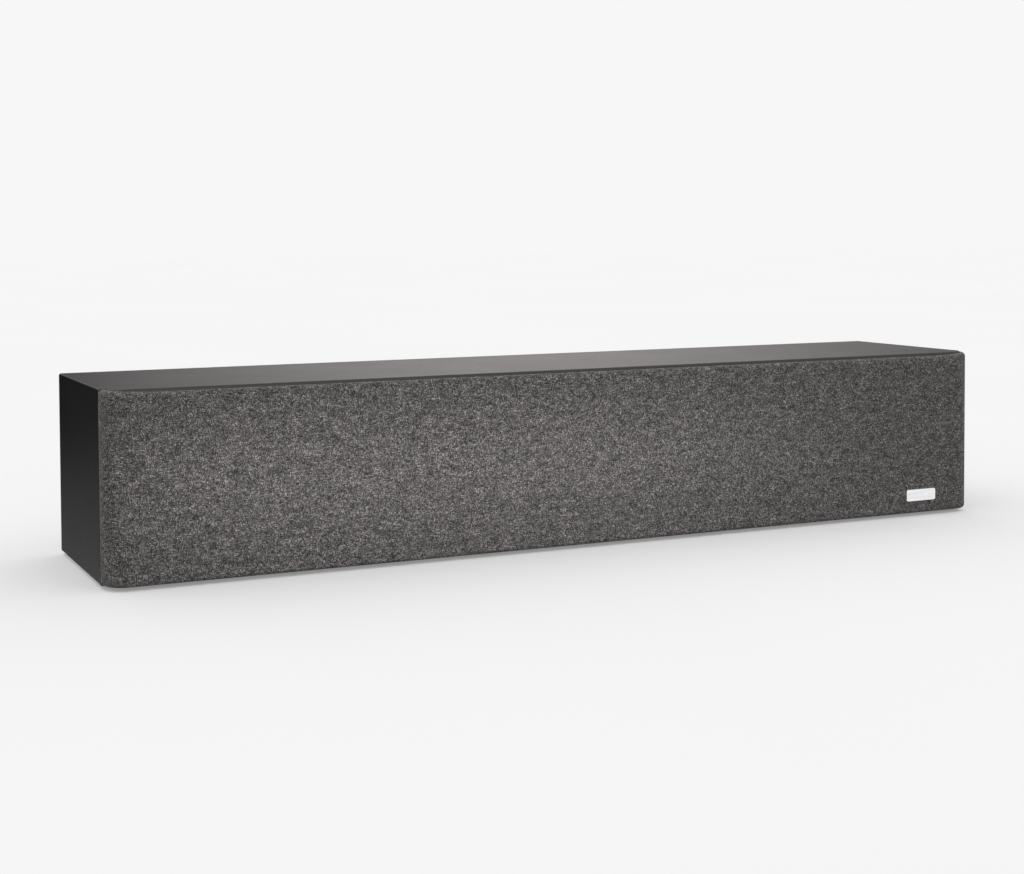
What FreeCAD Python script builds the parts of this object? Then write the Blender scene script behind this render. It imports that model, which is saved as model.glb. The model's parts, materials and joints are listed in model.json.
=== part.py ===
import FreeCAD, Part
import Sketcher
import os
import re

# A slim left-centre-right loudspeaker: mitred cabinet, cloth grille wrapped round both ends,
# two woofers, two passive radiators, a dome tweeter and a recessed terminal cup.
# Millimetres, +Z up, the cloth front faces -Y, the left end is -X.

doc = FreeCAD.newDocument("LcrSpeaker")
sheet = doc.addObject("Spreadsheet::Sheet", "Sizes")

SIZES = {
    # cabinet
    "cabinet_width": 692,
    "cabinet_height": 126,
    "cabinet_depth": 148,
    "wall": 12,
    "edge_ease": 1,
    "foot_height": 2,
    "foot_radius": 8,
    "foot_end_inset": 46,
    "foot_side_inset": 30,
    "brace_window_rim": 20,
    "brace_window_radius": 10,
    # grille and the baffle that it wraps round
    "grille_thickness": 4,
    "grille_wrap": 16.5,
    "grille_clearance": 0.5,
    "grille_top_inset": 2,
    "grille_bottom_inset": 0.5,
    "corner_straight": 1.5,
    "cloth_thickness": 1,
    "cloth_edge_radius": 3,
    "frame_window_margin": 4,
    "boss_radius": 7,
    "magnet_radius": 5,
    "magnet_length": 3,
    "magnet_edge": 12,
    "magnet_end_inset": 26,
    "shoulder_depth": 2.5,
    "nose_ease": 2,
    "baffle_setback": 12,
    "tongue_depth": 6,
    "baffle_corner_land": 1.5,
    # bare plate in the lower right of the cloth
    "plate_width": 28,
    "plate_height": 9,
    "plate_thickness": 0.8,
    "plate_right_inset": 52,
    "plate_rise": 15,
    "plate_corner_radius": 1.5,
    # what the four cone units share
    "woofer_offset": 112,
    "radiator_end_inset": 86,
    "unit_margin": 4,
    "unit_flange": 4,
    "unit_fit": 0.3,
    "flange_rim": 5,
    "body_step": 1,
    "seat_width": 5,
    "seat_depth": 1.2,
    "seat_gap": 0.3,
    "roll_land": 1,
    "roll_radius": 3.4,
    "surround_thickness": 0.8,
    "lip_width": 2,
    "cone_rim_width": 2.2,
    "cone_skin": 1,
    # woofer cone, coil and motor
    "dish_depth": 9.5,
    "dish_centre_depth": 13,
    "neck_depth": 13,
    "coil_radius": 12.1,
    "former_skin": 0.4,
    "former_tail": 0.5,
    "winding_length": 8,
    "winding_skin": 0.25,
    "coil_gap": 0.4,
    "spider_depth": 22,
    "spider_step": 5.5,
    "spider_seat_width": 4,
    "spider_skin": 0.6,
    "spider_wave": 1,
    "basket_wall": 3,
    "top_plate_depth": 32,
    "top_plate_thickness": 5,
    "basket_floor": 2,
    "magnet_step": 6,
    "magnet_bore_margin": 2.85,
    "motor_magnet_length": 13,
    "yoke_step": 2,
    "yoke_plate": 5,
    "pole_drop": 1,
    "basket_window_width": 26,
    "basket_window_start": 8,
    "basket_window_length": 12,
    # passive radiator
    "radiator_ring": 8,
    "radiator_dish_depth": 4,
    "radiator_centre_depth": 5.2,
    "radiator_weight_radius": 10,
    "radiator_weight_length": 4,
    # tweeter
    "tweeter_radius": 38,
    "tweeter_flange": 4,
    "tweeter_rim": 10,
    "dome_edge_width": 3.1,
    "throat_depth": 4.6,
    "tweeter_back_depth": 6.5,
    "tweeter_body_step": 7,
    "dome_radius": 12.9,
    "dome_rise": 4.4,
    "dome_base_gap": 0.5,
    "dome_skin": 0.6,
    "dome_coil_length": 5,
    "dome_coil_skin": 0.4,
    "dome_edge_gap": 0.3,
    "tweeter_plate": 3.5,
    "tweeter_magnet_length": 8,
    "tweeter_yoke_plate": 4,
    # terminal cup and binding posts
    "cup_margin": 4,
    "cup_flare": 2,
    "cup_wall": 2.5,
    "cup_depth": 24,
    "cup_floor": 3,
    "cup_flange_width": 7.5,
    "cup_flange": 3,
    "post_pitch": 19,
    "stud_radius": 3,
    "stud_inside": 10,
    "stud_outside": 18,
    "collar_radius": 6.5,
    "collar_length": 2,
    "banana_radius": 2.05,
    "banana_depth": 14,
    "washer_thickness": 1,
    "cap_radius": 6.5,
    "cap_length": 14,
    "cap_flute_radius": 1,
    "nut_radius": 6,
    "nut_length": 4,
    # keyhole hangers
    "hanger_end_inset": 66,
    "hanger_width": 34,
    "hanger_height": 54,
    "hanger_thickness": 2.4,
    "hanger_hole_radius": 5,
    "hanger_slot_radius": 2.5,
    "hanger_slot_rise": 12,
    "hanger_screw_edge": 6,
    "hanger_corner_radius": 4,
    "hanger_pocket_depth": 8,
    "hanger_pocket_margin": 1,
    # screws, all of one size
    "screw_radius": 1.7,
    "screw_head_radius": 3.2,
    "screw_head": 1.6,
    "screw_stop": 1,
    "screw_fit": 0.1,
    # crossover and damping
    "board_x": 70,
    "board_rear_gap": 14,
    "board_length": 90,
    "board_depth": 40,
    "board_thickness": 1.6,
    "inductor_radius": 14,
    "inductor_bore": 6,
    "inductor_length": 14,
    "capacitor_radius": 8,
    "capacitor_length": 32,
    "capacitor_inset": 8,
    "board_edge_gap": 4,
    "pad_depth": 40,
    "pad_length": 100,
    "pad_clearance": 4,
}

# Sizes that follow from the ones above.
DERIVED = {
    "diagonal": "sqrt(0.5)",
    # cabinet
    "half_width": "cabinet_width / 2",
    "front_y": "plate_thickness - cabinet_depth / 2",
    "back_y": "cabinet_depth / 2",
    "base_z": "foot_height",
    "top_z": "foot_height + cabinet_height",
    "mid_z": "foot_height + cabinet_height / 2",
    "inner_width": "cabinet_width - 2 * wall",
    "inner_height": "cabinet_height - 2 * wall",
    "inner_z": "foot_height + wall",
    "rear_y": "back_y - wall",
    "screw_length": "wall - screw_stop",
    # grille and baffle
    "corner_radius": "grille_wrap - corner_straight",
    "grille_reach": "grille_thickness + grille_clearance",
    "panel_front_y": "front_y + grille_reach",
    "shoulder_y": "front_y + grille_wrap + grille_clearance",
    "side_y": "shoulder_y + shoulder_depth",
    "side_depth": "back_y - side_y",
    "baffle_y": "front_y + baffle_setback",
    "baffle_back_y": "side_y + tongue_depth",
    "baffle_corner_radius": "shoulder_y - baffle_y - baffle_corner_land",
    "magnet_rise": "inner_height / 2 - magnet_edge",
    "end_magnet_x": "half_width - magnet_end_inset",
    # cone units, from the rim inwards
    "radiator_offset": "half_width - radiator_end_inset",
    "brace_x": "(woofer_offset + radiator_offset) / 2",
    "unit_radius": "inner_height / 2 - unit_margin",
    "seat_outer_radius": "unit_radius - flange_rim",
    "seat_inner_radius": "seat_outer_radius - seat_width",
    "unit_body_radius": "seat_outer_radius - body_step",
    "bolt_step": "(unit_radius + seat_outer_radius) / 2 * diagonal",
    "roll_centre": "seat_inner_radius + roll_land - roll_radius",
    "lip_inner_radius": "roll_centre - roll_radius - lip_width",
    "cone_rim_radius": "lip_inner_radius + cone_rim_width",
    "cone_front": "seat_depth + seat_gap",
    # woofer motor
    "coil_outer": "coil_radius + former_skin",
    "gap_outer": "coil_outer + winding_skin + coil_gap",
    "dish_radius": "coil_outer + 1.1 * cone_skin",
    "coil_front": "cone_front + neck_depth",
    "plate_back": "top_plate_depth + top_plate_thickness",
    "winding_start": "(top_plate_depth + plate_back - winding_length) / 2 - coil_front",
    "former_length": "winding_start + winding_length + former_tail",
    "spider_seat_radius": "seat_inner_radius - spider_step",
    "motor_magnet_radius": "unit_body_radius - magnet_step",
    "motor_magnet_bore": "gap_outer + magnet_bore_margin",
    "yoke_radius": "motor_magnet_radius - yoke_step",
    "yoke_front": "plate_back + motor_magnet_length",
    # tweeter
    "horn_mouth_radius": "tweeter_radius - tweeter_rim",
    "tweeter_bolt_step": "(tweeter_radius + horn_mouth_radius) / 2 * diagonal",
    "throat_radius": "dome_radius + dome_edge_width",
    "tweeter_body_radius": "throat_radius + tweeter_body_step",
    "dome_base": "tweeter_back_depth - dome_base_gap",
    "tweeter_plate_back": "tweeter_back_depth + tweeter_plate",
    "tweeter_yoke_front": "tweeter_plate_back + tweeter_magnet_length",
    # terminals and hangers
    "cup_flange_radius": "inner_height / 2 - cup_margin",
    "cup_outer_radius": "cup_flange_radius - cup_flange_width",
    "cup_mouth_radius": "cup_outer_radius - cup_wall",
    "cup_radius": "cup_mouth_radius - cup_flare",
    "cup_bolt_step": "(cup_outer_radius + cup_flange_radius) / 2 * diagonal",
    "cup_y": "back_y - cup_depth - cup_floor",
    "floor_y": "cup_y + cup_floor",
    "washer_y": "floor_y + collar_length + seat_gap",
    "cap_y": "washer_y + washer_thickness + seat_gap",
    "hanger_offset": "half_width - hanger_end_inset",
    "hanger_screw_rise": "hanger_height / 2 - hanger_screw_edge",
    # crossover
    "board_y": "rear_y - board_rear_gap - board_depth",
}

for row, (alias, number) in enumerate(SIZES.items(), start=1):
    sheet.set("A%d" % row, alias)
    sheet.set("B%d" % row, str(number))
    sheet.setAlias("B%d" % row, alias)
for row, (alias, formula) in enumerate(DERIVED.items(), start=len(SIZES) + 1):
    sheet.set("A%d" % row, alias)
    sheet.set("B%d" % row, "=" + formula)
    sheet.setAlias("B%d" % row, alias)
doc.recompute()

KNOWN = set(SIZES) | set(DERIVED)
NODES = []


def linked(text):
    """Turn plain size names into references to the sheet."""
    def swap(match):
        word = match.group()
        return "Sizes." + word if word in KNOWN else word
    return re.sub(r"[a-z_][a-z0-9_]*", swap, str(text))


def number(text):
    """The present value of a size expression."""
    found = sheet.evalExpression(linked(text))
    return float(getattr(found, "Value", found))


def tie(thing, **sizes):
    """Bind properties of an object to size expressions."""
    for name, text in sizes.items():
        thing.setExpression(name, linked(text))


def put(thing, x="0", y="0", z="0", turn=None):
    """Place an object, with its position bound to the sheet."""
    if turn:
        thing.Placement = FreeCAD.Placement(FreeCAD.Vector(), FreeCAD.Rotation(*turn))
    for axis, text in zip("xyz", (x, y, z)):
        thing.setExpression("Placement.Base." + axis, linked(text))
    return thing


def node(thing, name):
    """Mark an object as a finished piece that is written out under this name."""
    thing.Label = name
    NODES.append(thing)
    return thing


TO_BACK = (FreeCAD.Vector(1, 0, 0), -90)


def box(name, length, depth, height, x="0", y="0", z="0"):
    thing = doc.addObject("Part::Box", name)
    tie(thing, Length=length, Width=depth, Height=height)
    return put(thing, x, y, z)


def rod(name, radius, length, x="0", y="0", z="0", upright=False):
    """A cylinder that runs towards the back, or upwards."""
    thing = doc.addObject("Part::Cylinder", name)
    tie(thing, Radius=radius, Height=length)
    return put(thing, x, y, z, None if upright else TO_BACK)


def joined(name, pieces):
    thing = doc.addObject("Part::MultiFuse", name)
    thing.Shapes = pieces
    thing.Refine = True
    return thing


def cut(name, base, tools):
    thing = doc.addObject("Part::Cut", name)
    thing.Base = base
    thing.Tool = tools[0] if len(tools) == 1 else joined(name + "_tools", tools)
    thing.Refine = True
    return thing


def origin_plane(body, role):
    return [f for f in body.Origin.OriginFeatures if f.Role == role][0]


def outline(body, name, corners, role="XY_Plane", arcs=None):
    """A fully bound closed sketch. An arc is given as {first corner: (point on the arc, its centre)}."""
    arcs = arcs or {}
    sketch = body.newObject("Sketcher::SketchObject", name)
    sketch.AttachmentSupport = (origin_plane(body, role), [""])
    sketch.MapMode = "FlatFace"
    points = [FreeCAD.Vector(number(x), number(y), 0) for x, y in corners]
    ends = []
    for i, start in enumerate(points):
        stop = points[(i + 1) % len(points)]
        if i in arcs:
            through = FreeCAD.Vector(*[number(t) for t in arcs[i][0]], 0)
            index = sketch.addGeometry(Part.Arc(start, through, stop))
            first = 1 if sketch.getPoint(index, 1).distanceToPoint(start) < 0.01 else 2
            ends.append((index, first, 3 - first))
        else:
            ends.append((sketch.addGeometry(Part.LineSegment(start, stop)), 1, 2))

    def fix(geometry, point, axis, text):
        value = number(text)
        if abs(value) < 1e-9:
            sketch.addConstraint(Sketcher.Constraint(
                "PointOnObject", geometry, point, -2 if axis == "X" else -1))
            return
        index = sketch.addConstraint(Sketcher.Constraint(
            "Distance" + axis, -1, 1, geometry, point, value))
        sketch.setExpression("Constraints[%d]" % index, linked(text))

    for i, (geometry, first, last) in enumerate(ends):
        after = ends[(i + 1) % len(ends)]
        sketch.addConstraint(Sketcher.Constraint("Coincident", geometry, last, after[0], after[1]))
    for (geometry, first, last), (x, y) in zip(ends, corners):
        fix(geometry, first, "X", x)
        fix(geometry, first, "Y", y)
    for i, (through, centre) in arcs.items():
        fix(ends[i][0], 3, "Y", centre)
    return sketch


def turned(name, corners, x="0", y="0", z="0", arcs=None):
    """A revolved piece. Corners are (radius, distance towards the back) on its own axis."""
    body = doc.addObject("PartDesign::Body", name)
    sketch = outline(body, name + "_section", corners, arcs=arcs)
    spin = body.newObject("PartDesign::Revolution", name + "_turn")
    spin.Profile = sketch
    spin.ReferenceAxis = (sketch, ["V_Axis"])
    spin.Angle = 360
    body.Tip = spin
    return put(body, x, y, z)


def picked(shape, test):
    return ["Edge%d" % (i + 1) for i, edge in enumerate(shape.Edges) if test(edge)]


def rounded(name, length, depth, height, rounds, x="0", y="0", z="0"):
    """A block with sets of edges rounded in turn. Each round is (test for an edge, radius)."""
    body = doc.addObject("PartDesign::Body", name)
    last = body.newObject("PartDesign::AdditiveBox", name + "_block")
    tie(last, Length=length, Width=depth, Height=height)
    doc.recompute()
    for i, (test, radius) in enumerate(rounds):
        ease = body.newObject("PartDesign::Fillet", "%s_round_%d" % (name, i))
        ease.Base = (last, picked(last.Shape, test))
        tie(ease, Radius=radius)
        doc.recompute()
        last = ease
    body.Tip = last
    return put(body, x, y, z)


def spread(edge, axis):
    return getattr(edge.BoundBox, axis + "Length")


def front_upright(edge):
    """Edges that stand up along the front of a block."""
    return spread(edge, "Z") > 1 and spread(edge, "X") < 0.01 and edge.BoundBox.YMax < 0.01


def any_through(edge):
    """Edges that run from the front of a plate to its back."""
    return spread(edge, "Y") > 0.1 and spread(edge, "X") < 0.01 and spread(edge, "Z") < 0.01


def any_across(edge):
    """Edges that run along the width of a block."""
    return spread(edge, "X") > 0.1 and spread(edge, "Y") < 0.01 and spread(edge, "Z") < 0.01


def front_rim(depth):
    """Edges round the top and the bottom of a block, apart from those along its back."""
    def test(edge):
        flat = spread(edge, "Z") < 0.01
        return flat and edge.BoundBox.YMin < number(depth) - 0.01
    return test


def outer_rim(depth):
    """Edges round the outer face of a panel's nose, apart from the one along its back."""
    def test(edge):
        outer = spread(edge, "Z") < 0.01 and edge.BoundBox.ZMin > number("wall") - 0.01
        return outer and edge.BoundBox.YMin < number(depth) - 0.01
    return test


def outer_ends(edge):
    """Edges that run back along the two ends of a panel's outer face."""
    return any_through(edge) and edge.BoundBox.ZMin > number("wall") - 0.01


# Cabinet.

def mitred(name, length, x, y, z, turn, reaches_front):
    """One wall of the folded cabinet, its long edges mitred and eased."""
    body = doc.addObject("PartDesign::Body", name + "_wall")
    corners = [
        ("wall", "0"),
        (length + " - wall", "0"),
        (length + " - edge_ease / 2", "wall - edge_ease / 2"),
        (length + " - edge_ease", "wall"),
        ("edge_ease", "wall"),
        ("edge_ease / 2", "wall - edge_ease / 2"),
    ]
    sketch = outline(body, name + "_section", corners, role="XZ_Plane")
    pad = body.newObject("PartDesign::Pad", name + "_pad")
    pad.Profile = sketch
    pad.Reversed = True
    tie(pad, Length="side_depth")
    body.Tip = pad
    whole = body
    if reaches_front:
        shoulder = rounded(name + "_shoulder", length, "shoulder_depth", "wall",
                           [(outer_ends, "edge_ease")], y="-shoulder_depth")
        nose_depth = "shoulder_y - panel_front_y"
        nose = rounded(name + "_nose", length + " - 2 * grille_reach", nose_depth, "wall",
                       [(front_upright, "corner_radius - grille_reach"),
                        (outer_rim(nose_depth), "nose_ease")],
                       x="grille_reach", y="panel_front_y - side_y")
        whole = joined(name + "_whole", [body, shoulder, nose])
    return node(put(whole, x, y, z, turn), name)


Y_AXIS = FreeCAD.Vector(0, 1, 0)
mitred("top_panel", "cabinet_width", "-half_width", "side_y", "top_z - wall", None, True)
mitred("bottom_panel", "cabinet_width", "half_width", "side_y", "inner_z", (Y_AXIS, 180), True)
mitred("left_panel", "cabinet_height", "wall - half_width", "side_y", "base_z", (Y_AXIS, -90), False)
mitred("right_panel", "cabinet_height", "half_width - wall", "side_y", "top_z", (Y_AXIS, 90), False)

# Screw places: (x, y of the outer face, z, True where the head is at the back).
SCREWS = []


def screw_square(x, face, z, step, at_back=False):
    for side in ("+", "-"):
        for level in ("+", "-"):
            SCREWS.append(("%s %s %s" % (x, side, step), face, "%s %s %s" % (z, level, step), at_back))


UNITS = {
    "radiator_left": "-radiator_offset",
    "woofer_left": "-woofer_offset",
    "woofer_right": "woofer_offset",
    "radiator_right": "radiator_offset",
}
for place in UNITS.values():
    screw_square(place, "baffle_y", "mid_z", "bolt_step")
screw_square("0", "baffle_y", "mid_z", "tweeter_bolt_step")
screw_square("0", "back_y", "mid_z", "cup_bolt_step", at_back=True)
for side in ("-", ""):
    for level in ("+", "-"):
        SCREWS.append((side + "hanger_offset", "back_y", "mid_z %s hanger_screw_rise" % level, True))


def screw_shape(name, x, face, z, at_back, extra):
    """A countersunk screw, or with extra size the hole that it goes into."""
    turn = (FreeCAD.Vector(1, 0, 0), 90) if at_back else TO_BACK
    head = doc.addObject("Part::Cone", name + "_head")
    tie(head, Radius1="screw_head_radius + " + extra, Radius2="screw_radius + " + extra, Height="screw_head")
    put(head, x, face, z, turn)
    shank = doc.addObject("Part::Cylinder", name + "_shank")
    tie(shank, Radius="screw_radius + " + extra, Height="screw_length + " + extra)
    put(shank, x, face, z, turn)
    return joined(name, [head, shank])


def screw_holes(name, wanted):
    return [screw_shape("%s_hole_%d" % (name, i), *place, "screw_fit")
            for i, place in enumerate(SCREWS) if wanted(place)]


# Grille magnets: a pair above and below each brace, and one near each end.
MAGNETS = []
for side in ("-", ""):
    MAGNETS.append((side + "end_magnet_x", "mid_z"))
    MAGNETS.append((side + "brace_x", "mid_z + magnet_rise"))
    MAGNETS.append((side + "brace_x", "mid_z - magnet_rise"))

baffle_front = rounded("baffle_front", "cabinet_width - 2 * grille_reach", "shoulder_y - baffle_y",
                       "inner_height", [(front_upright, "baffle_corner_radius")],
                       x="grille_reach - half_width", y="baffle_y", z="inner_z")
baffle_shoulder = box("baffle_shoulder", "cabinet_width", "shoulder_depth", "inner_height",
                      "-half_width", "shoulder_y", "inner_z")
baffle_tongue = box("baffle_tongue", "inner_width", "tongue_depth", "inner_height",
                    "wall - half_width", "side_y", "inner_z")
baffle_whole = joined("baffle_whole", [baffle_front, baffle_shoulder, baffle_tongue])


def stepped_hole(name, place, rim, rim_depth, body):
    """The rebate for a unit's flange and the cut-out for its body."""
    return [
        rod(name + "_rebate", rim + " + unit_fit", rim_depth, place, "baffle_y", "mid_z"),
        rod(name + "_cutout", body + " + unit_fit", "baffle_back_y - baffle_y", place, "baffle_y", "mid_z"),
    ]


baffle_tools = screw_holes("baffle", lambda place: not place[3])
for name, place in UNITS.items():
    baffle_tools += stepped_hole(name, place, "unit_radius", "unit_flange", "unit_body_radius")
baffle_tools += stepped_hole("tweeter", "0", "tweeter_radius", "tweeter_flange", "tweeter_body_radius")
for i, (x, z) in enumerate(MAGNETS):
    baffle_tools.append(rod("magnet_pocket_%d" % i, "magnet_radius", "magnet_length", x, "baffle_y", z))
node(cut("baffle", baffle_whole, baffle_tools), "front_baffle")


def hanger_blank(name, place):
    """A hanger plate's outline, for the plate and for the rebate that it lies in."""
    return rounded(name, "hanger_width", "hanger_thickness", "hanger_height",
                   [(any_through, "hanger_corner_radius")],
                   place + " - hanger_width / 2", "back_y - hanger_thickness", "mid_z - hanger_height / 2")


rear_board = box("rear_board", "inner_width", "wall", "inner_height",
                 "wall - half_width", "rear_y", "inner_z")
rear_tools = screw_holes("rear", lambda place: place[3])
rear_tools.append(rod("cup_rebate", "cup_flange_radius + unit_fit", "cup_flange",
                      "0", "back_y - cup_flange", "mid_z"))
rear_tools.append(rod("cup_cutout", "cup_outer_radius + unit_fit", "wall", "0", "rear_y", "mid_z"))
for side, place in (("left", "-hanger_offset"), ("right", "hanger_offset")):
    rear_tools.append(hanger_blank("hanger_rebate_" + side, place))
    rear_tools.append(box("hanger_pocket_" + side, "2 * (hanger_hole_radius + hanger_pocket_margin)",
                          "hanger_pocket_depth", "2 * (hanger_slot_rise + hanger_pocket_margin)",
                          place + " - hanger_hole_radius - hanger_pocket_margin",
                          "back_y - hanger_pocket_depth",
                          "mid_z - hanger_slot_rise - hanger_pocket_margin"))
node(cut("rear", rear_board, rear_tools), "rear_panel")

for side, place in (("left", "-brace_x"), ("right", "brace_x")):
    board = box("brace_board_" + side, "wall", "rear_y - baffle_back_y", "inner_height",
                place + " - wall / 2", "baffle_back_y", "inner_z")
    window = rounded("brace_window_" + side, "wall", "rear_y - baffle_back_y - 2 * brace_window_rim",
                     "inner_height - 2 * brace_window_rim", [(any_across, "brace_window_radius")],
                     place + " - wall / 2", "baffle_back_y + brace_window_rim", "inner_z + brace_window_rim")
    node(cut("brace_" + side + "_cut", board, [window]), "brace_" + side)

for side, x in (("left", "foot_end_inset - half_width"), ("right", "half_width - foot_end_inset")):
    for end, y in (("front", "shoulder_y + foot_side_inset"), ("rear", "back_y - foot_side_inset")):
        foot = doc.addObject("Part::Cone", "foot_%s_%s" % (end, side))
        tie(foot, Radius1="foot_radius - foot_height / 4", Radius2="foot_radius", Height="foot_height")
        node(put(foot, x, y, "0"), "foot_%s_%s" % (end, side))

# Grille: moulded frame with the cloth stretched over it.

FULL_HEIGHT = "cabinet_height - grille_top_inset - grille_bottom_inset"
cloth_outside = rounded(
    "cloth_outside", "cabinet_width", "grille_wrap", FULL_HEIGHT,
    [(front_upright, "corner_radius"), (front_rim("grille_wrap"), "cloth_edge_radius")],
    "-half_width", "front_y", "base_z + grille_bottom_inset")


def frame_block(name):
    """The frame's outside: the cloth's outside, smaller by the cloth all round."""
    depth = "grille_wrap - 2 * cloth_thickness"
    return rounded(
        name, "cabinet_width - 2 * cloth_thickness", depth, FULL_HEIGHT + " - 2 * cloth_thickness",
        [(front_upright, "corner_radius - cloth_thickness"),
         (front_rim(depth), "cloth_edge_radius - cloth_thickness")],
        "cloth_thickness - half_width", "front_y + cloth_thickness",
        "base_z + grille_bottom_inset + cloth_thickness")


def grille_hollow(name):
    """What is left free behind the grille for the cabinet's nose and the baffle."""
    return rounded(
        name, "cabinet_width - 2 * grille_thickness", "grille_wrap", "cabinet_height",
        [(front_upright, "corner_radius - grille_thickness")],
        "grille_thickness - half_width", "front_y + grille_thickness", "base_z")


cloth_inside = [frame_block("cloth_inside"), grille_hollow("cloth_hollow")]
node(cut("cloth", cloth_outside, cloth_inside), "grille_cloth")

windows = []
for name, place in UNITS.items():
    windows.append(rod(name + "_window", "unit_radius - frame_window_margin", "grille_thickness",
                       place, "front_y", "mid_z"))
windows.append(rod("tweeter_window", "tweeter_radius - frame_window_margin", "grille_thickness",
                   "0", "front_y", "mid_z"))
frame_shell = cut("frame_shell", frame_block("frame_outside"), [grille_hollow("frame_hollow")])
frame_open = cut("frame_open", frame_shell, windows)
bosses = []
pockets = []
for i, (x, z) in enumerate(MAGNETS):
    bosses.append(rod("boss_%d" % i, "boss_radius", "baffle_setback - grille_thickness",
                      x, "front_y + grille_thickness", z))
    pockets.append(rod("boss_pocket_%d" % i, "magnet_radius", "magnet_length",
                       x, "baffle_y - magnet_length", z))
node(cut("frame", joined("frame_bossed", [frame_open] + bosses), pockets), "grille_frame")


def group(name, pieces):
    thing = doc.addObject("Part::Compound", name)
    thing.Links = pieces
    return node(thing, name)


def magnet_set(name, y):
    """One disc at each magnet place."""
    return group(name, [rod("%s_%d" % (name, i), "magnet_radius", "magnet_length", x, y, z)
                        for i, (x, z) in enumerate(MAGNETS)])


magnet_set("grille_magnets", "baffle_y - magnet_length")
magnet_set("baffle_magnets", "baffle_y")
node(rounded("plate", "plate_width", "plate_thickness", "plate_height",
             [(any_through, "plate_corner_radius")],
             "half_width - plate_right_inset - plate_width / 2", "front_y - plate_thickness",
             "base_z + plate_rise - plate_height / 2"), "bare_plate")

# Cone units.

FLANGE = [
    ("seat_inner_radius", "seat_depth"),
    ("seat_outer_radius", "seat_depth"),
    ("seat_outer_radius", "0"),
    ("unit_radius", "0"),
    ("unit_radius", "unit_flange"),
    ("unit_body_radius", "unit_flange"),
]


def unit_holes(name, place):
    return screw_holes(name, lambda spot: spot[0].startswith(place + " "))


def surround(name, place):
    """The rubber half roll between the flange's seat and the cone's rim."""
    front = "roll_radius"
    back = "roll_radius + surround_thickness"
    outer = "roll_centre + roll_radius"
    inner = "roll_centre - roll_radius"
    corners = [
        ("seat_outer_radius - unit_fit", front),
        (outer, front),
        (inner, front),
        ("lip_inner_radius", front),
        ("lip_inner_radius", back),
        (inner + " + surround_thickness", back),
        (inner + " + surround_thickness", front),
        (outer + " - surround_thickness", front),
        (outer + " - surround_thickness", back),
        ("seat_outer_radius - unit_fit", back),
    ]
    arcs = {
        1: (("roll_centre", "0"), "roll_radius"),
        6: (("roll_centre", "surround_thickness"), "roll_radius"),
    }
    crest = "baffle_y + seat_depth - surround_thickness - roll_radius"
    return node(turned(name, corners, place, crest, "mid_z", arcs), name)


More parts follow.
